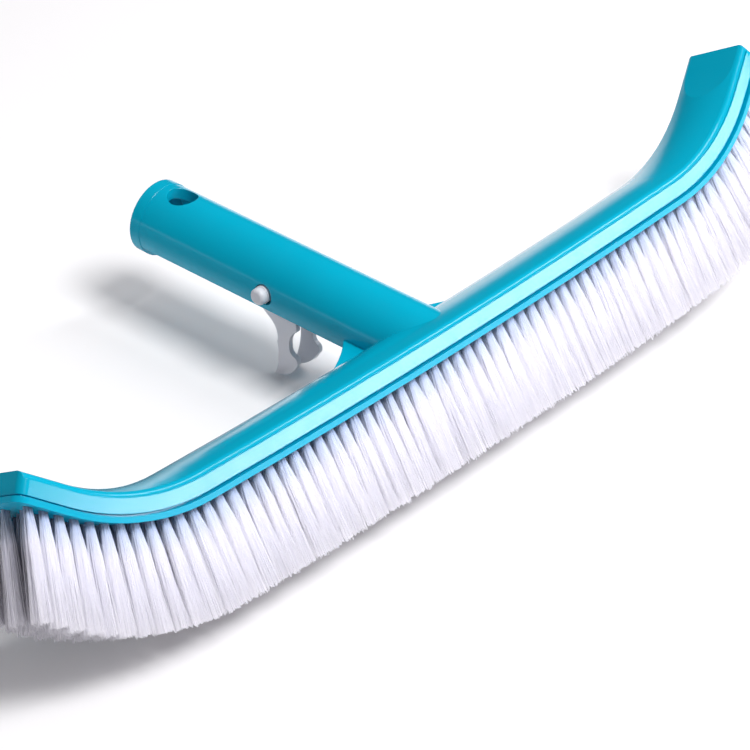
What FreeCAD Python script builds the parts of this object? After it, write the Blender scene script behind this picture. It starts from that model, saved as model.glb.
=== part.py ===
"""Pool wall brush: curved brush back with a pole socket, tufting block, tufts and snap clip.

Row frame: +Y along the pole socket's axis, out of its free end, +Z up, X along the brush.
The origin is in the middle of the socket's free end. Two other frames are used for drawing:
the socket frame has the row frame's directions and its origin on the same axis at the middle
of the brush; the brush frame is tilted about X, so that Z is normal to the bristle side, and
its origin is in the middle of the bristle side.
"""
import FreeCAD, Part
import Sketcher
import math
import os

from FreeCAD import Placement, Rotation, Vector

DOC = FreeCAD.newDocument("pool_wall_brush")

SIZES = {
    # path of the brush, along the middle of its bristle side
    "bow_radius": 4440.0,
    "bow_angle": 1.69,
    "shoulder_radius": 95.0,
    "end_angle": 38.6,
    "end_straight": 19.3,
    # cross-section of the brush back
    "back_half_width": 15.6,
    "back_base": 2.9,
    "front_edge": 8.3,
    "ledge": 0.7,
    "shoulder_width": 1.7,
    "shoulder_top": 10.4,
    "crown_top": 12.3,
    "end_corner_radius": 3.0,
    "end_flat_height": 10.6,
    "end_flat_length": 8.0,
    "end_flat_radius": 60.0,
    # pocket that takes the tufting block
    "pocket_half_width": 14.0,
    "pocket_top": 8.6,
    "end_wall": 2.6,
    # tufting block
    "lip_half_width": 17.0,
    "lip_draft": 0.45,
    "lip_overhang": 1.2,
    "lip_thickness": 2.1,
    "rebate_half_width": 14.5,
    "rebate_inset": 1.1,
    "rebate_top": 2.85,
    "tongue_half_width": 13.9,
    "tongue_top": 8.5,
    "tongue_gap": 0.1,
    # tufts
    "tuft_pitch": 6.13,
    "tuft_row_gap": 6.05,
    "tufts_in_long_row": 68,
    "tuft_length": 36.8,
    "tuft_lean": 0.475,
    "tuft_row_width": 4.8,
    "tuft_spread": 2.6,
    "tuft_top_gap": 0.1,
    "hole_radius": 1.5,
    "hole_depth": 6.5,
    "anchor_width": 2.6,
    "anchor_height": 1.8,
    "anchor_thickness": 0.4,
    # pole socket
    "socket_rise": 31.5,
    "axis_drop": 1.0,
    "socket_radius": 14.3,
    "cap_radius": 14.5,
    "socket_length": 138.1,
    "bore_radius": 11.5,
    "bore_start": 24.0,
    "collar_radius": 10.0,
    "collar_start": 114.0,
    "channel_depth": 7.0,
    "cap_start": 133.5,
    "underside_trim": 2.87,
    "hang_hole_radius": 5.9,
    "hang_hole_place": 124.5,
    "button_hole_radius": 4.1,
    "button_hole_place": 71.0,
    # gusset between socket and brush
    "gusset_top": 2.0,
    "gusset_root": 12.0,
    "gusset_tangent": 17.2,
    "gusset_half_span": 56.0,
    "gusset_radius": 67.0,
    "gusset_runout": 24.0,
    "gusset_mouth_half": 13.2,
    # snap clip
    "post_radius": 2.4,
    "post_place": 107.5,
    "post_drop": 4.0,
    "bow_inner_radius": 3.2,
    "bow_outer_radius": 5.9,
    "bow_leg_end": 104.6,
    "clip_half_height": 5.0,
    "pivot_place": 104.0,
    "pivot_x": 4.55,
    "pivot_radius": 1.2,
    "pivot_clearance": 0.05,
    "arm_thickness": 2.0,
    "arm_bend_place": 82.0,
    "arm_bend_x": 8.3,
    "arm_end_place": 63.0,
    "arm_end_x": 8.6,
    "button_radius": 3.25,
    "button_root_radius": 3.45,
    "button_root_end": 14.5,
    "button_place": 71.5,
    "button_tip": 17.5,
    "button_round": 1.4,
    "lever_thickness": 2.0,
    "lever_splay": 5.2,
    "lever_foot": 37.8,
}


def make_sheet():
    """Spreadsheet that holds every driving dimension under its own alias."""
    sheet = DOC.addObject("Spreadsheet::Sheet", "Sizes")
    for row, (alias, value) in enumerate(SIZES.items(), start=1):
        sheet.set("A%d" % row, alias.replace("_", " "))
        sheet.set("B%d" % row, str(value))
        sheet.setAlias("B%d" % row, alias)
    DOC.recompute()
    return sheet


SHEET = make_sheet()


def size(alias):
    """Value of one driving dimension, in millimetres or degrees."""
    return float(getattr(SHEET, alias))


def formula(text):
    """Expression in sheet names: every alias written as {alias} gets the sheet's prefix."""
    for alias in SIZES:
        text = text.replace("{%s}" % alias, "Sizes." + alias)
    return text


# ---------------------------------------------------------------- bodies, sketches, features

def new_body(label):
    """Body with its own label, in the row frame."""
    body = DOC.addObject("PartDesign::Body", label)
    body.Label = label
    return body


def origin_plane(body, role):
    return [item for item in body.Origin.OriginFeatures if item.Role == role][0]


def new_sketch(body, name, role):
    """Sketch on one of the body's own origin planes."""
    sketch = body.newObject("Sketcher::SketchObject", name)
    sketch.AttachmentSupport = [(origin_plane(body, role), "")]
    sketch.MapMode = "FlatFace"
    return sketch


def socket_sketch(body, name, role, along="0", above="0"):
    """Sketch in the socket's frame, drawn inside a body that uses the brush frame.

    XZ_Plane gives a section across the socket at distance `along` from the brush's middle,
    XY_Plane a plan at height `above` the axis, and YZ_Plane the side view.
    """
    sketch = new_sketch(body, name, role)
    axis = Vector(0, 0, 1) if role == "YZ_Plane" else Vector(1, 0, 0)
    sketch.AttachmentOffset = Placement(Vector(), Rotation(axis, size("socket_rise")))
    sketch.setExpression("AttachmentOffset.Rotation.Angle", formula("{socket_rise}"))
    shift_y = "(%s) * cos({socket_rise}) - (%s) * sin({socket_rise})" % (along, above)
    shift_z = "(%s) * sin({socket_rise}) + (%s) * cos({socket_rise}) - {axis_drop}" % (along, above)
    local = {"XY_Plane": ("y", shift_y, "z", shift_z),
             "YZ_Plane": ("x", shift_y, "y", shift_z),
             "XZ_Plane": ("z", "-(%s)" % shift_y, "y", shift_z)}[role]
    sketch.setExpression("AttachmentOffset.Base." + local[0], formula(local[1]))
    sketch.setExpression("AttachmentOffset.Base." + local[2], formula(local[3]))
    return sketch


def bind(sketch, constraint, text):
    """Add a dimension to a sketch and bind it to an expression."""
    index = sketch.addConstraint(constraint)
    sketch.setExpression("Constraints[%d]" % index, formula(text))


def value_of(sketch, text):
    result = sketch.evalExpression(formula(text))
    return float(getattr(result, "Value", result))


def pin(sketch, geometry, end, place):
    """Hold a point at the expressions (x, y), measured from the sketch's origin."""
    for axis, kind, text in ((-2, "DistanceX", place[0]), (-1, "DistanceY", place[1])):
        if text == "0":
            sketch.addConstraint(Sketcher.Constraint("PointOnObject", geometry, end, axis))
        else:
            value = value_of(sketch, text)
            bind(sketch, Sketcher.Constraint(kind, -1, 1, geometry, end, value), text)


def arc_geometry(start, end, radius, side):
    """Arc shorter than a half turn; side +1 bends left, with its centre on the left."""
    chord = end - start
    middle = (start + end) * 0.5
    left = Vector(-chord.y, chord.x, 0).normalize()
    reach = math.sqrt(radius ** 2 - (chord.Length / 2) ** 2)
    centre = middle + left * (side * reach)
    first, last = (start, end) if side > 0 else (end, start)
    angles = [math.atan2(p.y - centre.y, p.x - centre.x) for p in (first, last)]
    if angles[1] < angles[0]:
        angles[1] += 2 * math.pi
    return Part.ArcOfCircle(Part.Circle(centre, Vector(0, 0, 1), radius), angles[0], angles[1])


def draw(sketch, corners, closed=True):
    """Draw an outline whose corners and arcs are all bound to expressions.

    Each corner is (x, y) or (x, y, radius, side); the last two turn the stretch that starts
    at that corner into an arc.
    """
    points = [Vector(value_of(sketch, c[0]), value_of(sketch, c[1]), 0) for c in corners]
    count = len(corners) if closed else len(corners) - 1
    ends = []
    for i in range(count):
        start, end = points[i], points[(i + 1) % len(points)]
        if len(corners[i]) == 4:
            radius, side = value_of(sketch, corners[i][2]), corners[i][3]
            index = sketch.addGeometry(arc_geometry(start, end, radius, side), False)
            ends.append((index, 1, 2) if side > 0 else (index, 2, 1))
        else:
            index = sketch.addGeometry(Part.LineSegment(start, end), False)
            ends.append((index, 1, 2))
    for i in range(count if closed else count - 1):
        here, there = ends[i], ends[(i + 1) % count]
        sketch.addConstraint(Sketcher.Constraint("Coincident", here[0], here[2], there[0], there[1]))
    for i in range(count):
        pin(sketch, ends[i][0], ends[i][1], corners[i])
        if len(corners[i]) == 4:
            radius = value_of(sketch, corners[i][2])
            bind(sketch, Sketcher.Constraint("Radius", ends[i][0], radius), corners[i][2])
    if not closed:
        pin(sketch, ends[-1][0], ends[-1][2], corners[-1])


def draw_circle(sketch, x, y, radius):
    centre = Vector(value_of(sketch, x), value_of(sketch, y), 0)
    circle = Part.Circle(centre, Vector(0, 0, 1), value_of(sketch, radius))
    index = sketch.addGeometry(circle, False)
    pin(sketch, index, 3, (x, y))
    bind(sketch, Sketcher.Constraint("Radius", index, value_of(sketch, radius)), radius)


def rectangle(x_low, x_high, y_low, y_high):
    return [(x_low, y_low), (x_high, y_low), (x_high, y_high), (x_low, y_high)]


def extrude(body, kind, name, sketch, length, reverse=False, both_sides=False):
    """Pad or Pocket of a bound length; the volume shows whether it did anything."""
    before = body.Shape.Volume if body.Tip else 0.0
    feature = body.newObject("PartDesign::" + kind, name)
    feature.Profile = sketch
    feature.Length = value_of(sketch, length)
    feature.setExpression("Length", formula(length))
    feature.Reversed = reverse
    if both_sides:
        feature.SideType = "Symmetric"
    DOC.recompute()
    change = body.Shape.Volume - before
    if (change <= 0.01) if kind == "Pad" else (change >= -0.01):
        raise RuntimeError("%s changed the volume by %.3f" % (name, change))
    return feature


def sweep(body, kind, name, profile, spine):
    """AdditivePipe or SubtractivePipe of a profile along a spine sketch."""
    before = body.Shape.Volume if body.Tip else 0.0
    feature = body.newObject("PartDesign::" + kind, name)
    feature.Profile = profile
    feature.Spine = (spine, [])
    DOC.recompute()
    change = body.Shape.Volume - before
    if (change <= 0.01) if kind == "AdditivePipe" else (change >= -0.01):
        raise RuntimeError("%s changed the volume by %.3f" % (name, change))
    return feature


def mirror(body, name, features):
    """The same features on the other half of the brush."""
    before = body.Shape.Volume
    feature = body.newObject("PartDesign::Mirrored", name)
    feature.Originals = features
    feature.MirrorPlane = (origin_plane(body, "YZ_Plane"), [""])
    body.Tip = feature
    DOC.recompute()
    if abs(body.Shape.Volume - before) < 0.01:
        raise RuntimeError("%s changed nothing" % name)
    return feature


def round_edges(body, name, radius, wanted):
    """Fillet every edge of the body's tip for which wanted(edge) is true."""
    base = body.Tip
    names = ["Edge%d" % (i + 1) for i, edge in enumerate(base.Shape.Edges) if wanted(edge)]
    if not names:
        raise RuntimeError("%s found no edges" % name)
    feature = body.newObject("PartDesign::Fillet", name)
    feature.Base = (base, names)
    feature.Radius = value_of(body, radius)
    feature.setExpression("Radius", formula(radius))
    DOC.recompute()
    return feature


# ---------------------------------------------------------------- the brush's path

BOW_X = "{bow_radius} * sin({bow_angle})"
BOW_Z = "{bow_radius} * (1 - cos({bow_angle}))"
SHOULDER_X = BOW_X + " + {shoulder_radius} * (sin({end_angle}) - sin({bow_angle}))"
SHOULDER_Z = BOW_Z + " + {shoulder_radius} * (cos({bow_angle}) - cos({end_angle}))"


def path_end(extra):
    """End of the path, `extra` beyond the end of the brush back."""
    length = "({end_straight} + %s)" % extra
    return (SHOULDER_X + " + %s * cos({end_angle})" % length,
            SHOULDER_Z + " + %s * sin({end_angle})" % length)


def path_sketch(body, name, extra="0"):
    """Half of the path, from the middle to one end."""
    sketch = new_sketch(body, name, "XZ_Plane")
    draw(sketch, [("0", "0", "{bow_radius}", 1),
                  (BOW_X, BOW_Z, "{shoulder_radius}", 1),
                  (SHOULDER_X, SHOULDER_Z),
                  path_end(extra)], closed=False)
    return sketch


def path_place(distance):
    """Point and slope of the path at a signed distance from the middle, as (x, z, angle)."""
    side = math.copysign(1.0, distance)
    left = abs(distance)
    x = z = angle = 0.0
    stretches = ((size("bow_radius"), math.radians(size("bow_angle"))),
                 (size("shoulder_radius"), math.radians(size("end_angle") - size("bow_angle"))))
    for radius, turn in stretches:
        part = min(left, radius * turn) / radius
        x += radius * (math.sin(angle + part) - math.sin(angle))
        z += radius * (math.cos(angle) - math.cos(angle + part))
        angle += part
        left -= part * radius
    x += left * math.cos(angle)
    z += left * math.sin(angle)
    return side * x, z, side * angle


def place_from_brush(feature):
    """Put an object that is drawn in the brush frame in its place in the row frame."""
    feature.Placement = Placement(Vector(), Rotation(Vector(1, 0, 0), -size("socket_rise")))
    feature.setExpression("Placement.Rotation.Angle", formula("-{socket_rise}"))
    feature.setExpression("Placement.Base.y",
                          formula("{axis_drop} * sin({socket_rise}) - {socket_length}"))
    feature.setExpression("Placement.Base.z", formula("{axis_drop} * cos({socket_rise})"))


def place_from_socket(feature):
    """Put an object that is drawn in the socket frame in its place in the row frame."""
    feature.setExpression("Placement.Base.y", formula("-{socket_length}"))


# ---------------------------------------------------------------- brush back

def near_path_end(edge, reach):
    """True for an edge whose middle lies within `reach` of either end of the brush."""
    length = sum(size(r) * math.radians(a) for r, a in
                 (("bow_radius", size("bow_angle")),
                  ("shoulder_radius", size("end_angle") - size("bow_angle"))))
    end_x = path_place(length + size("end_straight"))[0]
    middle = edge.valueAt((edge.FirstParameter + edge.LastParameter) / 2)
    return abs(middle.x) > end_x - reach


def stands_on_path_end(edge, shortest):
    """True for a straight edge that stands square to the path at its end."""
    if edge.Curve.TypeId != "Part::GeomLine" or edge.Length < shortest:
        return False
    direction = edge.tangentAt(edge.FirstParameter)
    upright = abs(direction.z) > math.cos(math.radians(size("end_angle") + 2))
    leaning = abs(direction.x) > math.sin(math.radians(size("end_angle") - 2))
    return upright and leaning and near_path_end(edge, 12.0)


def brush_bar(body):
    """Crowned bar, curved along its path, with a narrow ledge along both top edges."""
    profile = new_sketch(body, "bar_profile", "YZ_Plane")
    crown_half = "({back_half_width} - {ledge} - {shoulder_width})"
    ledge_half = "({back_half_width} - {ledge})"
    rise = "({crown_top} - {shoulder_top})"
    crown_radius = "(%s ^ 2 + %s ^ 2) / (2 * %s)" % (crown_half, rise, rise)
    shoulder = "({shoulder_top} - {front_edge})"
    draw(profile, [("-{back_half_width}", "{back_base}"),
                   ("{back_half_width}", "{back_base}"),
                   ("{back_half_width}", "{front_edge}"),
                   (ledge_half, "{front_edge}", shoulder + " * 1.15", 1),
                   (crown_half, "{shoulder_top}", crown_radius, 1),
                   ("-" + crown_half, "{shoulder_top}", shoulder + " * 1.15", 1),
                   ("-" + ledge_half, "{front_edge}"),
                   ("-{back_half_width}", "{front_edge}")])
    half = sweep(body, "AdditivePipe", "bar_half", profile, path_sketch(body, "bar_path"))
    mirror(body, "bar_mirror", [half])


def flat_ends(body):
    """Flatten the crown towards each end of the bar, blending into it on a tangent arc."""
    side = new_sketch(body, "end_side", "XZ_Plane")
    height, bend = "{end_flat_height}", "{end_flat_radius}"
    above = ("({x}) - %s * sin({end_angle})" % height, "({z}) + %s * cos({end_angle})" % height)

    def raised(extra):
        x, z = path_end(extra)
        return above[0].replace("{x}", x), above[1].replace("{z}", z)

    inner = raised("-{end_flat_length}")
    outer = raised("{end_flat_length}")
    blend = (inner[0] + " - %s * sin({end_angle})" % bend,
             inner[1] + " - %s * (1 - cos({end_angle}))" % bend)
    high = blend[1] + " + %s" % bend
    draw(side, [outer, inner + (bend, -1), blend, (blend[0], high), (outer[0], high)])
    half = extrude(body, "Pocket", "flat_half", side, "{back_half_width} * 4", both_sides=True)
    mirror(body, "flat_mirror", [half])


def pole_socket(body):
    """Round socket that rises out of the bar, open underneath up to its closed end."""
    section = socket_sketch(body, "socket_section", "XZ_Plane")
    draw_circle(section, "0", "0", "{socket_radius}")
    extrude(body, "Pad", "socket", section, "{socket_length}", reverse=True)
    cap = socket_sketch(body, "cap_section", "XZ_Plane", along="{cap_start}")
    draw_circle(cap, "0", "0", "{cap_radius}")
    extrude(body, "Pad", "cap", cap, "{socket_length} - {cap_start}", reverse=True)
    below = socket_sketch(body, "channel_side", "YZ_Plane")
    draw(below, rectangle("-{socket_radius} * 2", "{cap_start}", "-{socket_radius} * 2",
                          "-{channel_depth}"))
    extrude(body, "Pocket", "channel", below, "{socket_radius} * 4", both_sides=True)


def gusset(body):
    """Flared plate that ties the socket's lower edge to the back of the bar."""
    plan = socket_sketch(body, "gusset_plan", "XY_Plane", above="-{channel_depth}")
    far = "({gusset_half_span} + {gusset_runout})"
    drop = "({gusset_tangent} - 2.7)"
    mouth = ("({gusset_tangent} + {gusset_radius} - sqrt({gusset_radius} ^ 2"
             " - ({gusset_half_span} - {gusset_mouth_half}) ^ 2))")
    draw(plan, [("-" + far, "{gusset_root}"),
                (far, "{gusset_root}"),
                (far, drop),
                ("{gusset_half_span}", "{gusset_tangent}", "{gusset_radius}", -1),
                ("{gusset_mouth_half}", mouth),
                ("-{gusset_mouth_half}", mouth, "{gusset_radius}", -1),
                ("-{gusset_half_span}", "{gusset_tangent}"),
                ("-" + far, drop)])
    extrude(body, "Pad", "gusset", plan, "{channel_depth} - {gusset_top}")


def trimmed_underside(body):
    """Cut the socket and gusset off level with the bottom edge of the bar."""
    profile = new_sketch(body, "underside_profile", "YZ_Plane")
    draw(profile, rectangle("-{socket_radius} * 2", "{socket_radius} * 3",
                            "-{socket_radius} * 2", "{underside_trim}"))
    spine = path_sketch(body, "underside_path")
    half = sweep(body, "SubtractivePipe", "underside_half", profile, spine)
    mirror(body, "underside_mirror", [half])


def socket_hollows(body):
    """Bore with a thicker end collar, button holes, hang hole and the clip's post."""
    bore = socket_sketch(body, "bore_section", "XZ_Plane", along="{bore_start}")
    draw_circle(bore, "0", "0", "{bore_radius}")
    extrude(body, "Pocket", "bore", bore, "{collar_start} - {bore_start}")
    collar = socket_sketch(body, "collar_section", "XZ_Plane", along="{bore_start} + 1")
    draw_circle(collar, "0", "0", "{collar_radius}")
    extrude(body, "Pocket", "collar", collar, "{cap_start} - {bore_start} - 1")
    buttons = socket_sketch(body, "button_side", "YZ_Plane")
    draw_circle(buttons, "{button_hole_place}", "0", "{button_hole_radius}")
    extrude(body, "Pocket", "button_holes", buttons, "{socket_radius} * 4", both_sides=True)
    hang = socket_sketch(body, "hang_plan", "XY_Plane")
    draw_circle(hang, "0", "{hang_hole_place}", "{hang_hole_radius}")
    extrude(body, "Pocket", "hang_hole", hang, "{socket_radius} * 2", reverse=True)
    post = socket_sketch(body, "post_plan", "XY_Plane", above="-{post_drop}")
    draw_circle(post, "0", "{post_place}", "{post_radius}")
    extrude(body, "Pad", "post", post, "{bore_radius} + {post_drop} + 1")


def block_pocket(body):
    """Pocket in the bristle side that the tufting block's tongue fits."""
    profile = new_sketch(body, "pocket_profile", "YZ_Plane")
    draw(profile, rectangle("-{pocket_half_width}", "{pocket_half_width}",
                            "-{lip_thickness}", "{pocket_top}"))
    spine = path_sketch(body, "pocket_path", "-{end_wall}")
    half = sweep(body, "SubtractivePipe", "pocket_half", profile, spine)
    mirror(body, "pocket_mirror", [half])


def make_brush_back():
    body = new_body("brush_back")
    brush_bar(body)
    flat_ends(body)
    pole_socket(body)
    gusset(body)
    trimmed_underside(body)
    socket_hollows(body)
    block_pocket(body)
    round_edges(body, "end_corners", "{end_corner_radius}",
                lambda e: stands_on_path_end(e, 4.0)
                and abs(e.CenterOfMass.y) > size("pocket_half_width") + 1)
    place_from_brush(body)
    return body


# ---------------------------------------------------------------- tufting block and tufts

def tuft_rows():
    """Row numbers across the brush, from the side away from the socket to the socket side."""
    return range(1, 6)


def row_offset(row):
    """Place of a row across the brush."""
    return (row - 3) * size("tuft_row_gap")


def tuft_places(row):
    """Foot point and outward direction of each tuft in a row, in the brush frame.

    Every second row is shifted by half a pitch, so it has one tuft fewer.
    """
    count = int(size("tufts_in_long_row")) - (row + 1) % 2
    for i in range(count):
        x, z, slope = path_place((i - (count - 1) / 2) * size("tuft_pitch"))
        lean = size("tuft_lean") * slope
        yield Vector(x, row_offset(row), z), Vector(math.sin(lean), 0, -math.cos(lean))


def block_blank():
    """Tufting block before drilling: drafted lip, rebate under the back and tongue in its pocket."""
    body = new_body("block_blank")
    lip = [("-({lip_half_width} - {lip_draft})", "0"),
           ("{lip_half_width} - {lip_draft}", "0"),
           ("{lip_half_width}", "{lip_thickness}"),
           ("-{lip_half_width}", "{lip_thickness}")]
    rebate = rectangle("-{rebate_half_width}", "{rebate_half_width}", "0.5", "{rebate_top}")
    tongue = rectangle("-{tongue_half_width}", "{tongue_half_width}", "0.5", "{tongue_top}")
    layers = (("lip", lip, "{lip_overhang}"),
              ("rebate", rebate, "-{rebate_inset}"),
              ("tongue", tongue, "-{end_wall} - {tongue_gap}"))
    halves = []
    for name, outline, extra in layers:
        profile = new_sketch(body, name + "_profile", "YZ_Plane")
        draw(profile, outline)
        spine = path_sketch(body, name + "_path", extra)
        halves.append(sweep(body, "AdditivePipe", name + "_half", profile, spine))
    mirror(body, "block_mirror", halves)
    round_edges(body, "lip_corners", "{end_corner_radius} + {lip_overhang}",
                lambda e: stands_on_path_end(e, 1.5) and e.Length < 2.5
                and abs(e.CenterOfMass.y) > size("rebate_half_width") + 1)
    return body


def tuft_drills():
    """One blind hole per tuft, all rows, as the solids that are cut out of the block."""
    extra = 1.0
    drills = []
    for row in tuft_rows():
        for foot, out in tuft_places(row):
            start = foot + out * extra
            drills.append(Part.makeCylinder(size("hole_radius"), size("hole_depth") + extra,
                                            start, out * -1))
    feature = DOC.addObject("Part::Feature", "tuft_drills")
    feature.Shape = Part.makeCompound(drills)
    return feature


def make_bristle_block():
    blank = block_blank()
    drills = tuft_drills()
    block = DOC.addObject("Part::Cut", "bristle_block")
    block.Label = "bristle_block"
    block.Base = blank
    block.Tool = drills
    DOC.recompute()
    place_from_brush(block)
    return block


def make_tuft_row(row):
    """Space that one row of tufts fills, from the block's underside to the trimmed tips."""
    body = new_body("tufts_row_%d" % row)
    outline = new_sketch(body, "row_outline", "XZ_Plane")
    outline.AttachmentOffset = Placement(Vector(0, 0, -row_offset(row)), Rotation())
    outline.setExpression("AttachmentOffset.Base.z", formula("%d * {tuft_row_gap}" % (3 - row)))
    top, reach = "{tuft_top_gap}", "{tuft_length}"
    lean = "({tuft_lean} * {end_angle})"
    base = "-{rebate_inset} - {hole_radius} * 2"
    end_x, end_z = path_end(base)
    tip_x, tip_z = path_end(base + " + {tuft_spread}")
    tip_radius = ("(({shoulder_radius} + {tuft_lean} * {tuft_length}) ^ 2"
                  " / ({shoulder_radius} + {tuft_lean} ^ 2 * {tuft_length}))")
    corners = [
        ("0", "-" + top, "{bow_radius} + " + top, 1),
        (BOW_X + " + %s * sin({bow_angle})" % top, BOW_Z + " - %s * cos({bow_angle})" % top,
         "{shoulder_radius} + " + top, 1),
        (SHOULDER_X + " + %s * sin({end_angle})" % top,
         SHOULDER_Z + " - %s * cos({end_angle})" % top),
        (end_x + " + %s * sin({end_angle})" % top, end_z + " - %s * cos({end_angle})" % top),
        (tip_x + " + %s * sin(%s)" % (reach, lean), tip_z + " - %s * cos(%s)" % (reach, lean)),
        (SHOULDER_X + " + %s * sin(%s)" % (reach, lean),
         SHOULDER_Z + " - %s * cos(%s)" % (reach, lean), tip_radius, -1),
        (BOW_X + " + %s * sin({tuft_lean} * {bow_angle})" % reach,
         BOW_Z + " - %s * cos({tuft_lean} * {bow_angle})" % reach,
         "{bow_radius} + " + reach, -1),
        ("0", "-" + reach)]
    draw(outline, corners)
    half = extrude(body, "Pad", "row_half", outline, "{tuft_row_width}", both_sides=True)
    mirror(body, "row_mirror", [half])
    place_from_brush(body)
    return body


def make_tuft_anchors(row):
    """Flat metal staples that hold the row's tufts at the bottom of their holes."""
    depth = size("hole_depth") - 0.1
    width, height, thickness = (size("anchor_" + n) for n in ("width", "height", "thickness"))
    staples = []
    for foot, out in tuft_places(row):
        staple = Part.makeBox(thickness, width, height,
                              Vector(-thickness / 2, -width / 2, -height / 2))
        turn = Rotation(Vector(0, 0, -1), out)
        staple.Placement = Placement(foot - out * (depth - height / 2), turn)
        staples.append(staple)
    feature = DOC.addObject("Part::Feature", "tuft_anchors_row_%d" % row)
    feature.Label = "tuft_anchors_row_%d" % row
    feature.Shape = Part.makeCompound(staples)
    place_from_brush(feature)
    return feature


# ---------------------------------------------------------------- snap clip

def make_clip_bow():
    """U-shaped spring bow that hooks round the post and ends in two hinge sockets."""
    body = new_body("clip_bow")
    plan = new_sketch(body, "bow_plan", "XY_Plane")
    outer, inner = "{bow_outer_radius}", "{bow_inner_radius}"
    draw(plan, [("-" + outer, "{bow_leg_end}"),
                ("-" + inner, "{bow_leg_end}"),
                ("-" + inner, "{post_place}", inner, -1),
                ("0", "{post_place} + " + inner, inner, -1),
                (inner, "{post_place}"),
                (inner, "{bow_leg_end}"),
                (outer, "{bow_leg_end}"),
                (outer, "{post_place}", outer, 1),
                ("0", "{post_place} + " + outer, outer, 1),
                ("-" + outer, "{post_place}")])
    extrude(body, "Pad", "bow", plan, "{clip_half_height} * 2", both_sides=True)
    sockets = new_sketch(body, "socket_plan", "XY_Plane")
    for side in ("-", ""):
        draw_circle(sockets, side + "{pivot_x}", "{pivot_place}", "{pivot_radius} + {pivot_clearance}")
    extrude(body, "Pocket", "hinge_sockets", sockets, "{clip_half_height} * 4", both_sides=True)
    place_from_socket(body)
    return body


def lever_outline():
    """Side view of the arm's web and finger lever, as (along, up) in the socket's frame."""
    foot = "-{lever_foot}"
    return [("80", "-3"),
            ("80", "-6.5"),
            ("73.4", "-12.3", "9", 1),
            ("69.4", "-22.5", "30", 1),
            ("71", foot),
            ("68.5", foot, "14", -1),
            ("60.4", "-30.5", "2.6", -1),
            ("60.9", "-26.4", "3.4", 1),
            ("63.4", "-22.5", "9", 1),
            ("59.4", "-14", "12", -1),
            ("61", "-6.5"),
            ("61", "-3")]


def on_button_tip(edge):
    """True for the outer circle of a snap button's face."""
    return (edge.Curve.TypeId == "Part::GeomCircle"
            and abs(abs(edge.Curve.Center.x) - size("button_tip")) < 0.01)


def make_clip_arm(label, side):
    """One arm of the clip: hinge root, leaf, snap button and finger lever."""
    sign = "-" if side < 0 else ""
    body = new_body(label)
    half = "{arm_thickness} / 2"
    leaf = new_sketch(body, "leaf_plan", "XY_Plane")
    outer = [("%s({pivot_x} + %s)" % (sign, half), "{pivot_place}"),
             ("%s({arm_bend_x} + %s)" % (sign, half), "{arm_bend_place}"),
             ("%s({arm_end_x} + %s)" % (sign, half), "{arm_end_place}")]
    inner = [("%s({arm_end_x} - %s)" % (sign, half), "{arm_end_place}"),
             ("%s({arm_bend_x} - %s)" % (sign, half), "{arm_bend_place}"),
             ("%s({pivot_x} - %s)" % (sign, half), "{pivot_place}")]
    draw(leaf, outer + inner)
    extrude(body, "Pad", "leaf", leaf, "{clip_half_height} * 2", both_sides=True)
    root = new_sketch(body, "root_plan", "XY_Plane")
    draw_circle(root, sign + "{pivot_x}", "{pivot_place}", "{pivot_radius}")
    extrude(body, "Pad", "hinge_root", root, "{clip_half_height} * 2", both_sides=True)

    lever = new_sketch(body, "lever_side", "YZ_Plane")
    lever.AttachmentOffset = Placement(Vector(0, 0, side * size("arm_end_x")),
                                       Rotation(Vector(1, 0, 0), side * size("lever_splay")))
    lever.setExpression("AttachmentOffset.Base.z", formula(sign + "{arm_end_x}"))
    lever.setExpression("AttachmentOffset.Rotation.Angle",
                        formula(sign + "{lever_splay}"))
    draw(lever, lever_outline())
    extrude(body, "Pad", "lever", lever, "{lever_thickness}", both_sides=True)

    for name, radius, tip in (("button_root", "{button_root_radius}", "{button_root_end}"),
                              ("button", "{button_radius}", "{button_tip}")):
        round_sketch = new_sketch(body, name + "_side", "YZ_Plane")
        round_sketch.AttachmentOffset = Placement(Vector(0, 0, side * size("arm_end_x")), Rotation())
        round_sketch.setExpression("AttachmentOffset.Base.z", formula(sign + "{arm_end_x}"))
        draw_circle(round_sketch, "{button_place}", "0", radius)
        extrude(body, "Pad", name, round_sketch, tip + " - {arm_end_x}", reverse=side < 0)
    round_edges(body, "button_dome", "{button_round}", on_button_tip)
    place_from_socket(body)
    return body


# ---------------------------------------------------------------- assembly and export

def make_all():
    parts = [make_brush_back(), make_bristle_block()]
    parts += [make_tuft_row(row) for row in tuft_rows()]
    parts += [make_tuft_anchors(row) for row in tuft_rows()]
    parts += [make_clip_bow(), make_clip_arm("clip_arm_left", -1), make_clip_arm("clip_arm_right", 1)]
    DOC.recompute()
    return parts


def check(parts):
    """Stop if any object failed or any sub-part has no valid shape."""
    for item in DOC.Objects:
        if "Invalid" in item.State or "Error" in item.State:
            raise RuntimeError("%s failed: %s" % (item.Label, item.State))
    for part in parts:
        if part.Shape.isNull() or not part.Shape.isValid():
            raise RuntimeError("%s has no valid shape" % part.Label)


def export(parts):
    os.makedirs("parts", exist_ok=True)
    for part in parts:
        part.Shape.exportStep(os.path.join("parts", part.Label + ".step"))
        box = part.Shape.BoundBox
        print("%-24s solids %3d  volume %9.1f  x %.1f..%.1f  y %.1f..%.1f  z %.1f..%.1f" % (
            part.Label, len(part.Shape.Solids), part.Shape.Volume, box.XMin, box.XMax,
            box.YMin, box.YMax, box.ZMin, box.ZMax))


PARTS = make_all()
check(PARTS)
export(PARTS)
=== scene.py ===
"""Looks of the pool wall brush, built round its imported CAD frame.

Lengths are in metres, in the frame's axes: X along the brush, +Y along the pole socket away
from the bar, +Z up. Every row of bristles stands in for one plain CAD slab.
"""
import math

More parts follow.
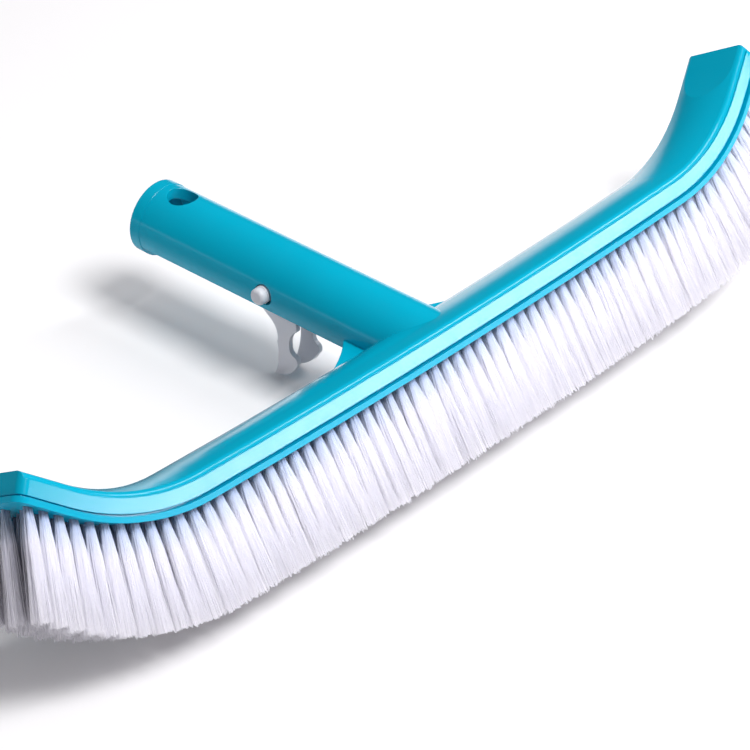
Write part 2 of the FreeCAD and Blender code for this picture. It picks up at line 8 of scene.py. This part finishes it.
import bpy
import numpy as np
from mathutils import Matrix, Vector


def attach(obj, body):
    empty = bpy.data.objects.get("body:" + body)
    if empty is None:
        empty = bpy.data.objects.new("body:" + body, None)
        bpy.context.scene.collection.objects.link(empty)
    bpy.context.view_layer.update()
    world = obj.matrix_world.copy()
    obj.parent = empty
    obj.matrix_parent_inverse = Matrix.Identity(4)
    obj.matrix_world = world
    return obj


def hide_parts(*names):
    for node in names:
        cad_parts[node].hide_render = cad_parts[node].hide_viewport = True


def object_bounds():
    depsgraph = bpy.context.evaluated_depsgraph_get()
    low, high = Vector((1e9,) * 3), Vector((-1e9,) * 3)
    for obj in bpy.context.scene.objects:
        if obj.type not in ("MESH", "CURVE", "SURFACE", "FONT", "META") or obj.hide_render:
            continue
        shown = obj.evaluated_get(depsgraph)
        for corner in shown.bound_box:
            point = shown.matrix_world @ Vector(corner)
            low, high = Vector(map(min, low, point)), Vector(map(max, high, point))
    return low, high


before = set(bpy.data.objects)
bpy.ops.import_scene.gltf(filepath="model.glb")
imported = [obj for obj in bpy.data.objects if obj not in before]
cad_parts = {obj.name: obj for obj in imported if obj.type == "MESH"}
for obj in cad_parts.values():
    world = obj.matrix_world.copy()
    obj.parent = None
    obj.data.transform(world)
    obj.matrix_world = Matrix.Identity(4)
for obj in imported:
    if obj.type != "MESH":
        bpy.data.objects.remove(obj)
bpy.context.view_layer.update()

MM = 0.001
ROWS = (1, 2, 3, 4, 5)
MIDDLE_ROW = 3

# Camera: turn about Z, height above the horizon and roll in degrees, distance to the point it
# looks at, lens and sensor width in millimetres.
CAMERA_AZIMUTH = -50.76
CAMERA_ELEVATION = 33.71
CAMERA_ROLL = -2.25
CAMERA_DISTANCE = 1.2
CAMERA_TARGET = Vector((-0.0382, -0.1411, 0.0105))
CAMERA_LENS = 165.4
CAMERA_SENSOR = 36.0

# Moulded plastic: noise scales, height of the orange peel, how far the gloss varies.
FLOW_SCALE = 18.0
FLOW_STRETCH = (0.4, 1.0, 1.0)
FLOW_STOPS = (0.3, 0.7)
SMEAR_SCALE = 140.0
SMEAR_RANGE = (0.75, 1.3)
PEEL_SCALE = 900.0
PEEL_HEIGHT = 0.004 * MM
PLASTIC_IOR = 1.5
EDGE_SAMPLES = 6
SHELL_DARK = (0.0, 0.37, 0.54)
SHELL_LIGHT = (0.0, 0.40, 0.58)
SHELL_ROUGHNESS = 0.16
SHELL_EDGE_RADIUS = 0.45 * MM
BLOCK_DARK = (0.0, 0.39, 0.59)
BLOCK_LIGHT = (0.0, 0.42, 0.63)
BLOCK_ROUGHNESS = 0.2
BLOCK_EDGE_RADIUS = 0.25 * MM
CLIP_DARK = (0.70, 0.71, 0.76)
CLIP_LIGHT = (0.78, 0.79, 0.84)
CLIP_ROUGHNESS = 0.3
CLIP_EDGE_RADIUS = 0.3 * MM
CLIP_SUBSURFACE = 0.35
SUBSURFACE_RADIUS = (4 * MM, 4 * MM, 4 * MM)
SUBSURFACE_SCALE = 0.5

# Staples: steel with fine streaks along one axis.
STEEL_STREAK_SCALE = 600.0
STEEL_STREAK_STRETCH = (1.0, 1.0, 12.0)
STEEL_STOPS = ((0.2, (0.45, 0.45, 0.46)), (0.8, (0.7, 0.7, 0.71)))
STEEL_ROUGHNESS = (0.25, 0.45)

# Nylon: colour from the block to the tip, with painted shade and bluish bounce light near the
# block, brightness from one filament to another, the share of light let through, and how clear
# a filament is to shadow rays.
NYLON_WITH_PAINTED_BOUNCE_STOPS = ((0.0, (0.70, 0.80, 0.94)), (0.1, (0.85, 0.89, 0.97)),
               (0.3, (0.935, 0.93, 0.97)), (1.0, (0.95, 0.94, 0.97)))
NYLON_SPREAD = ((0.0, (0.93, 0.93, 0.95)), (1.0, (1.0, 1.0, 1.0)))
NYLON_ROUGHNESS = (0.28, 0.5)
NYLON_TRANSLUCENCE = 0.6
FILAMENT_CLARITY = 0.94

# Tufts: a filament has four stations, in the hole, at the block's underside, at the end of
# the flare and at the tip. Shares are of its length below the block.
STAPLE_GAP = 1.5 * MM
STAPLE_TO_UNDERSIDE = 5.5 * MM
TUFT_LENGTH = 36.8 * MM
TUFT_HELD_SHARE = 0.9
TUFT_BASE_RADIUS = 1.36 * MM
TUFT_FLARE_RADIUS = 2.3 * MM
TUFT_FLARE_SHARE = 0.28
TUFT_TIP_HALF_WIDTH = 3.05 * MM
TUFT_WANDER = 0.3 * MM
STATION_SHARES = (0.0, 0.0, TUFT_FLARE_SHARE, 1.0)
FILAMENTS_PER_TUFT = 120
FILAMENT_RADIUS = 0.16 * MM
FILAMENT_SIDES = 3
TRIM_SCATTER = 0.35 * MM
ROW_SPLAY = 0.2 * MM
ROW_SEED = 100

# Sky: matte surfaces see it brightest above and towards +X, glossy ones see it dark.
SKY_TOWARDS = (0.62, 0.25, 0.74)
SKY_LOW = 0.22
SKY_HIGH = 0.5
SKY_REFLECTED = 0.01
SKY_SEEN = 1.0
SKY_COLOUR = (1.0, 0.975, 1.0, 1.0)

# Lights: a soft key above the bristles, a strip mirrored by the bar's front face, and an edge
# light whose reflection runs along the bar. Radiance is turned into power by its area.
KEY_TOWARDS = Vector((0.05, -0.45, 0.89))
KEY_DISTANCE = 1.3
KEY_SIZE = 0.5
KEY_POWER = 15.0
FRONT_FACE_OUT = 15.6 * MM
STRIP_DISTANCE = 1.0
STRIP_LENGTH = 0.62
STRIP_WIDTH = 0.12
STRIP_RADIANCE = 12.0
EDGE_TOWARDS = Vector((0.645, -0.15, 0.75))
EDGE_DISTANCE = 1.3
EDGE_LENGTH = 0.8
EDGE_WIDTH = 0.14
EDGE_RADIANCE = 11.0
EDGE_SPIN = math.radians(90)

# Floor: white paper with painted shade that only reflections see: dim to glossy rays between
# two places along X.
FLOOR_HALF = 3.0
FLOOR_GAP = 0.1 * MM
FLOOR_ROUGHNESS = 0.9
FLOOR_SPECULAR = 0.1
FLOOR_WHITE = (0.95, 0.94, 0.95)
FLOOR_PAINTED_SHADE = (0.1, 0.1, 0.1)
FLOOR_STOPS = ((0.0, FLOOR_WHITE), (0.25, FLOOR_PAINTED_SHADE), (0.8, FLOOR_PAINTED_SHADE), (1.0, FLOOR_WHITE))
SHADE_FROM = -0.42
SHADE_TO = 0.02


# ---------------------------------------------------------------- materials

class Nodes:
    """Small helper that adds nodes to a material and links them."""

    def __init__(self, name):
        self.material = bpy.data.materials.new(name)
        self.material.use_nodes = True
        self.tree = self.material.node_tree
        self.shader = self.tree.nodes["Principled BSDF"]
        self.output = self.tree.nodes["Material Output"]

    def add(self, kind, **settings):
        node = self.tree.nodes.new(kind)
        for key, value in settings.items():
            setattr(node, key, value)
        return node

    def link(self, source, target):
        self.tree.links.new(source, target)

    def noise(self, scale, detail=3.0, stretch=None):
        """Noise in object space, optionally stretched along an axis."""
        place = self.add("ShaderNodeTexCoord")
        noise = self.add("ShaderNodeTexNoise")
        noise.inputs["Scale"].default_value = scale
        noise.inputs["Detail"].default_value = detail
        vector = place.outputs["Object"]
        if stretch:
            mapping = self.add("ShaderNodeMapping")
            mapping.inputs["Scale"].default_value = stretch
            self.link(vector, mapping.inputs["Vector"])
            vector = mapping.outputs["Vector"]
        self.link(vector, noise.inputs["Vector"])
        return noise.outputs["Fac"]

    def ramp(self, factor, stops):
        """Colour ramp with (position, colour) stops."""
        node = self.add("ShaderNodeValToRGB")
        elements = node.color_ramp.elements
        while len(elements) < len(stops):
            elements.new(0.5)
        for element, (position, colour) in zip(elements, stops):
            element.position = position
            element.color = (*colour, 1.0)
        self.link(factor, node.inputs["Fac"])
        return node.outputs["Color"]

    def spread(self, factor, low, high):
        """Factor 0 to 1 mapped to low to high."""
        node = self.add("ShaderNodeMapRange")
        node.inputs["To Min"].default_value = low
        node.inputs["To Max"].default_value = high
        self.link(factor, node.inputs["Value"])
        return node.outputs["Result"]

    def bump(self, factor, height, normal):
        """Bump of a height on top of another normal."""
        node = self.add("ShaderNodeBump")
        node.inputs["Distance"].default_value = height
        self.link(factor, node.inputs["Height"])
        self.link(normal, node.inputs["Normal"])
        return node.outputs["Normal"]

    def mix_shaders(self, factor, first, second):
        """Mix of two shaders; the factor is a number or another node's output."""
        node = self.add("ShaderNodeMixShader")
        if isinstance(factor, float):
            node.inputs["Fac"].default_value = factor
        else:
            self.link(factor, node.inputs["Fac"])
        self.link(first, node.inputs[1])
        self.link(second, node.inputs[2])
        return node.outputs["Shader"]

    def rounded_edges(self, radius):
        """Normal that shades sharp edges as if they were rounded."""
        node = self.add("ShaderNodeBevel", samples=EDGE_SAMPLES)
        node.inputs["Radius"].default_value = radius
        return node.outputs["Normal"]


def moulded_plastic(name, dark, light, roughness, edge_radius, subsurface=0.0):
    """Glossy injection-moulded plastic: faint flow marks, orange peel and soft edges."""
    nodes = Nodes(name)
    shader = nodes.shader.inputs
    flow = nodes.noise(FLOW_SCALE, detail=2.0, stretch=FLOW_STRETCH)
    colour = nodes.ramp(flow, list(zip(FLOW_STOPS, (dark, light))))
    nodes.link(colour, shader["Base Color"])
    smear = nodes.noise(SMEAR_SCALE, detail=4.0)
    low, high = (roughness * share for share in SMEAR_RANGE)
    nodes.link(nodes.spread(smear, low, high), shader["Roughness"])
    peel = nodes.noise(PEEL_SCALE, detail=2.0)
    normal = nodes.bump(peel, PEEL_HEIGHT, nodes.rounded_edges(edge_radius))
    nodes.link(normal, shader["Normal"])
    shader["IOR"].default_value = PLASTIC_IOR
    shader["Subsurface Weight"].default_value = subsurface
    shader["Subsurface Radius"].default_value = SUBSURFACE_RADIUS
    shader["Subsurface Scale"].default_value = SUBSURFACE_SCALE
    return nodes.material


def teal_shell():
    return moulded_plastic("teal_shell", SHELL_DARK, SHELL_LIGHT, SHELL_ROUGHNESS,
                           SHELL_EDGE_RADIUS)


def teal_block():
    return moulded_plastic("teal_block", BLOCK_DARK, BLOCK_LIGHT, BLOCK_ROUGHNESS,
                           BLOCK_EDGE_RADIUS)


def clip_plastic():
    return moulded_plastic("clip_plastic", CLIP_DARK, CLIP_LIGHT, CLIP_ROUGHNESS,
                           CLIP_EDGE_RADIUS, CLIP_SUBSURFACE)


def staple_steel():
    nodes = Nodes("staple_steel")
    streaks = nodes.noise(STEEL_STREAK_SCALE, stretch=STEEL_STREAK_STRETCH)
    nodes.link(nodes.ramp(streaks, STEEL_STOPS), nodes.shader.inputs["Base Color"])
    nodes.link(nodes.spread(streaks, *STEEL_ROUGHNESS), nodes.shader.inputs["Roughness"])
    nodes.shader.inputs["Metallic"].default_value = 1.0
    return nodes.material


def nylon_filament():
    """White nylon with painted shade and bluish bounce light near the block, brighter to the
    tips, each filament its own.
    """
    nodes = Nodes("nylon_filament")
    along = nodes.add("ShaderNodeAttribute", attribute_name="along").outputs["Fac"]
    # Painted shade and bluish bounce light near the block, plain white nylon towards the tips.
    base = nodes.ramp(along, NYLON_WITH_PAINTED_BOUNCE_STOPS)
    island = nodes.add("ShaderNodeNewGeometry").outputs["Random Per Island"]
    shade = nodes.ramp(island, NYLON_SPREAD)
    mix = nodes.add("ShaderNodeMix", data_type="RGBA", blend_type="MULTIPLY")
    mix.inputs["Factor"].default_value = 1.0
    nodes.link(base, mix.inputs["A"])
    nodes.link(shade, mix.inputs["B"])
    colour = mix.outputs["Result"]
    nodes.link(colour, nodes.shader.inputs["Base Color"])
    nodes.link(nodes.spread(island, *NYLON_ROUGHNESS), nodes.shader.inputs["Roughness"])
    glow = nodes.add("ShaderNodeBsdfTranslucent")
    nodes.link(colour, glow.inputs["Color"])
    milky = nodes.mix_shaders(NYLON_TRANSLUCENCE, nodes.shader.outputs["BSDF"],
                              glow.outputs["BSDF"])
    clear = nodes.add("ShaderNodeBsdfTransparent").outputs["BSDF"]
    shadow = nodes.add("ShaderNodeLightPath").outputs["Is Shadow Ray"]
    seen = nodes.mix_shaders(nodes.spread(shadow, 0.0, FILAMENT_CLARITY), milky, clear)
    nodes.link(seen, nodes.output.inputs["Surface"])
    return nodes.material


def paint(node, material):
    """Give a CAD node its material."""
    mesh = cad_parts[node].data
    mesh.materials.clear()
    mesh.materials.append(material)


def paint_cad_nodes():
    paint("brush_back", teal_shell())
    paint("bristle_block", teal_block())
    clip = clip_plastic()
    for node in ("clip_bow", "clip_arm_left", "clip_arm_right"):
        paint(node, clip)
    steel = staple_steel()
    for row in ROWS:
        paint("tuft_anchors_row_%d" % row, steel)


# ---------------------------------------------------------------- tufts

def staples(row):
    """Middle of each staple in a row and the way its tuft points, read from the frame."""
    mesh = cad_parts["tuft_anchors_row_%d" % row].data
    points = np.array([vertex.co for vertex in mesh.vertices], float)
    points = points[np.argsort(points[:, 0])]
    breaks = np.nonzero(np.diff(points[:, 0]) > STAPLE_GAP)[0] + 1
    for group in np.split(points, breaks):
        middle = group.mean(axis=0)
        axes = np.linalg.svd(group - middle)[2]
        out = axes[1] * -np.sign(axes[1][2])
        yield middle, out


def frame_across():
    """Direction across the brush, from the front row of staples to the back row."""
    middles = [np.mean([m for m, _ in staples(row)], axis=0) for row in (ROWS[0], ROWS[-1])]
    across = middles[1] - middles[0]
    across[0] = 0.0
    return Vector(across).normalized()


def tuft_filaments(rng, middle, out, across, splay):
    """Centre lines of one tuft's filaments, as an array (filament, station, xyz)."""
    count = FILAMENTS_PER_TUFT
    along = np.cross(across, out)
    spin = rng.uniform(0, 2 * math.pi, count)
    reach = np.sqrt(rng.uniform(0, 1, count))
    disc = (np.cos(spin) * reach)[:, None] * across + (np.sin(spin) * reach)[:, None] * along
    square = disc / np.maximum(abs(np.cos(spin)), abs(np.sin(spin)))[:, None]
    foot = middle + out * STAPLE_TO_UNDERSIDE
    lean = rng.normal(0, TUFT_WANDER, 2)
    drift = across * (splay + lean[0]) + along * lean[1]
    stray = rng.normal(0, TUFT_WANDER, (count, 2))
    drift = drift + stray[:, :1] * across + stray[:, 1:] * along
    trim = TUFT_LENGTH + rng.normal(0, TRIM_SCATTER, count)[:, None]
    bend = rng.normal(0, TUFT_WANDER, (count, 2))
    bend = bend[:, :1] * across + bend[:, 1:] * along
    stations = [
        middle + disc * TUFT_BASE_RADIUS * TUFT_HELD_SHARE,
        foot + disc * TUFT_BASE_RADIUS,
        foot + disc * TUFT_FLARE_RADIUS + (out * trim + drift) * TUFT_FLARE_SHARE + bend,
        foot + square * TUFT_TIP_HALF_WIDTH + out * trim + drift]
    return np.stack(stations, axis=1)


def tube_mesh(name, lines, material):
    """One mesh of thin tubes along centre lines, with an `along` value from base to tip."""
    count, stations = lines.shape[:2]
    sides = FILAMENT_SIDES
    direction = lines[:, -1] - lines[:, 0]
    direction /= np.linalg.norm(direction, axis=1)[:, None]
    first = np.cross(direction, np.array((0.0, 1.0, 0.0)))
    first /= np.linalg.norm(first, axis=1)[:, None]
    second = np.cross(direction, first)
    rings = []
    for k in range(sides):
        angle = 2 * math.pi * k / sides
        offset = (math.cos(angle) * first + math.sin(angle) * second) * FILAMENT_RADIUS
        rings.append(lines + offset[:, None, :])
    vertices = np.stack(rings, axis=2)
    index = np.arange(count * stations * sides).reshape(count, stations, sides)
    low, high = index[:, :-1], index[:, 1:]
    quads = np.stack([low, np.roll(low, -1, axis=2), np.roll(high, -1, axis=2), high], axis=-1)
    tips, bases = index[:, -1], index[:, 0, ::-1]
    faces = quads.reshape(-1, 4).tolist() + tips.tolist() + bases.tolist()
    mesh = bpy.data.meshes.new(name)
    mesh.from_pydata(vertices.reshape(-1, 3).tolist(), [], faces)
    mesh.polygons.foreach_set("use_smooth", [True] * len(mesh.polygons))
    shares = np.array(STATION_SHARES, np.float32)[None, :, None]
    values = np.broadcast_to(shares, index.shape)
    attribute = mesh.attributes.new("along", "FLOAT", "POINT")
    attribute.data.foreach_set("value", values.ravel())
    mesh.materials.append(material)
    piece = bpy.data.objects.new(name, mesh)
    bpy.context.scene.collection.objects.link(piece)
    return piece


def make_bristles():
    """Every row of tufts, one piece a row, in place of its CAD slab."""
    material = nylon_filament()
    across = np.array(frame_across())
    for row in ROWS:
        rng = np.random.default_rng(ROW_SEED + row)
        splay = (row - MIDDLE_ROW) / (MIDDLE_ROW - 1) * ROW_SPLAY
        lines = [tuft_filaments(rng, middle, out, across, splay)
                 for middle, out in staples(row)]
        piece = tube_mesh("bristles_row_%d" % row, np.concatenate(lines), material)
        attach(piece, "brush")
        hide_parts("tufts_row_%d" % row)


# ---------------------------------------------------------------- studio

def floor_paper():
    """White paper; glossy surfaces see painted shade on it, dim as in the shade beside the
    pole socket.
    """
    nodes = Nodes("studio_floor")
    place = nodes.add("ShaderNodeTexCoord").outputs["Object"]
    split = nodes.add("ShaderNodeSeparateXYZ")
    nodes.link(place, split.inputs["Vector"])
    share = nodes.add("ShaderNodeMapRange")
    share.inputs["From Min"].default_value = SHADE_FROM
    share.inputs["From Max"].default_value = SHADE_TO
    nodes.link(split.outputs["X"], share.inputs["Value"])
    # Painted reflected shade: the floor colour that glossy rays see is dim between SHADE_FROM
    # and SHADE_TO.
    seen = nodes.ramp(share.outputs["Result"], FLOOR_STOPS)
    choose = nodes.add("ShaderNodeMix", data_type="RGBA")
    glossy = nodes.add("ShaderNodeLightPath").outputs["Is Glossy Ray"]
    nodes.link(glossy, choose.inputs["Factor"])
    choose.inputs["A"].default_value = (*FLOOR_WHITE, 1.0)
    nodes.link(seen, choose.inputs["B"])
    nodes.link(choose.outputs["Result"], nodes.shader.inputs["Base Color"])
    nodes.shader.inputs["Roughness"].default_value = FLOOR_ROUGHNESS
    nodes.shader.inputs["Specular IOR Level"].default_value = FLOOR_SPECULAR
    return nodes.material


def make_floor():
    """White table top just under the lowest filament tips."""
    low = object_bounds()[0][2] - FLOOR_GAP
    bpy.ops.mesh.primitive_plane_add(size=2 * FLOOR_HALF, location=(0, 0, low))
    floor = bpy.context.object
    floor.name = "studio_floor"
    floor.data.materials.append(floor_paper())


def area_light(name, place, target, width, height, power, spin=0.0):
    """Rectangular light that points at the target and is hidden from the camera."""
    light = bpy.data.lights.new(name, "AREA")
    light.shape = "RECTANGLE"
    light.size, light.size_y = width, height
    light.energy = power
    lamp = bpy.data.objects.new(name, light)
    turn = (target - place).to_track_quat("-Z", "Y").to_matrix().to_4x4()
    lamp.matrix_world = Matrix.Translation(place) @ turn @ Matrix.Rotation(spin, 4, "Z")
    lamp.visible_camera = False
    bpy.context.scene.collection.objects.link(lamp)


def lambert_power(radiance, width, height):
    """Power that gives a rectangular light this radiance."""
    return radiance * math.pi * width * height


def mirrored(towards, normal):
    """Direction in which a surface with this normal reflects the direction `towards`."""
    return 2 * towards.dot(normal) * normal - towards


def make_sky():
    """White to the camera, a soft upper glow for matte surfaces, dark in reflections."""
    world = bpy.data.worlds.new("studio")
    world.use_nodes = True
    tree = world.node_tree
    add, link = tree.nodes.new, tree.links.new
    towards = add("ShaderNodeTexCoord").outputs["Generated"]
    lobe = add("ShaderNodeVectorMath")
    lobe.operation = "DOT_PRODUCT"
    lobe.inputs[1].default_value = SKY_TOWARDS
    link(towards, lobe.inputs[0])
    glow = add("ShaderNodeMapRange")
    glow.inputs["To Min"].default_value = SKY_LOW
    glow.inputs["To Max"].default_value = SKY_HIGH
    link(lobe.outputs["Value"], glow.inputs["Value"])
    path = add("ShaderNodeLightPath")
    strength = glow.outputs["Result"]
    for ray, level in (("Is Glossy Ray", SKY_REFLECTED), ("Is Camera Ray", SKY_SEEN)):
        choose = add("ShaderNodeMix")
        choose.inputs["B"].default_value = level
        link(path.outputs[ray], choose.inputs["Factor"])
        link(strength, choose.inputs["A"])
        strength = choose.outputs["Result"]
    link(strength, tree.nodes["Background"].inputs["Strength"])
    tree.nodes["Background"].inputs["Color"].default_value = SKY_COLOUR
    bpy.context.scene.world = world


def make_lights():
    make_sky()
    key_place = CAMERA_TARGET + KEY_TOWARDS.normalized() * KEY_DISTANCE
    area_light("key", key_place, CAMERA_TARGET, KEY_SIZE, KEY_SIZE, KEY_POWER)
    front = -frame_across()
    face = CAMERA_TARGET + front * FRONT_FACE_OUT
    strip_place = face + mirrored(camera_back(), front) * STRIP_DISTANCE
    area_light("strip", strip_place, face, STRIP_LENGTH, STRIP_WIDTH,
               lambert_power(STRIP_RADIANCE, STRIP_LENGTH, STRIP_WIDTH))
    edge_place = CAMERA_TARGET + EDGE_TOWARDS.normalized() * EDGE_DISTANCE
    area_light("edge", edge_place, CAMERA_TARGET, EDGE_LENGTH, EDGE_WIDTH,
               lambert_power(EDGE_RADIANCE, EDGE_LENGTH, EDGE_WIDTH), EDGE_SPIN)
    bpy.context.scene.view_settings.view_transform = "Standard"


def camera_back():
    """Direction from the object to the camera."""
    turn = math.radians(CAMERA_AZIMUTH)
    rise = math.radians(CAMERA_ELEVATION)
    return Vector((math.sin(turn) * math.cos(rise), -math.cos(turn) * math.cos(rise),
                   math.sin(rise)))


def make_camera():
    data = bpy.data.cameras.new("camera")
    data.lens = CAMERA_LENS
    data.sensor_width = CAMERA_SENSOR
    camera = bpy.data.objects.new("camera", data)
    turn = math.radians(CAMERA_AZIMUTH)
    back = camera_back()
    right = Vector((math.cos(turn), math.sin(turn), 0))
    up = back.cross(right)
    roll = math.radians(CAMERA_ROLL)
    tilted_right = right * math.cos(roll) - up * math.sin(roll)
    tilted_up = up * math.cos(roll) + right * math.sin(roll)
    rotation = Matrix((tilted_right, tilted_up, back)).transposed()
    place = CAMERA_TARGET + back * CAMERA_DISTANCE
    camera.matrix_world = Matrix.Translation(place) @ rotation.to_4x4()
    bpy.context.scene.collection.objects.link(camera)
    bpy.context.scene.camera = camera


paint_cad_nodes()
make_bristles()
make_floor()
make_lights()
make_camera()
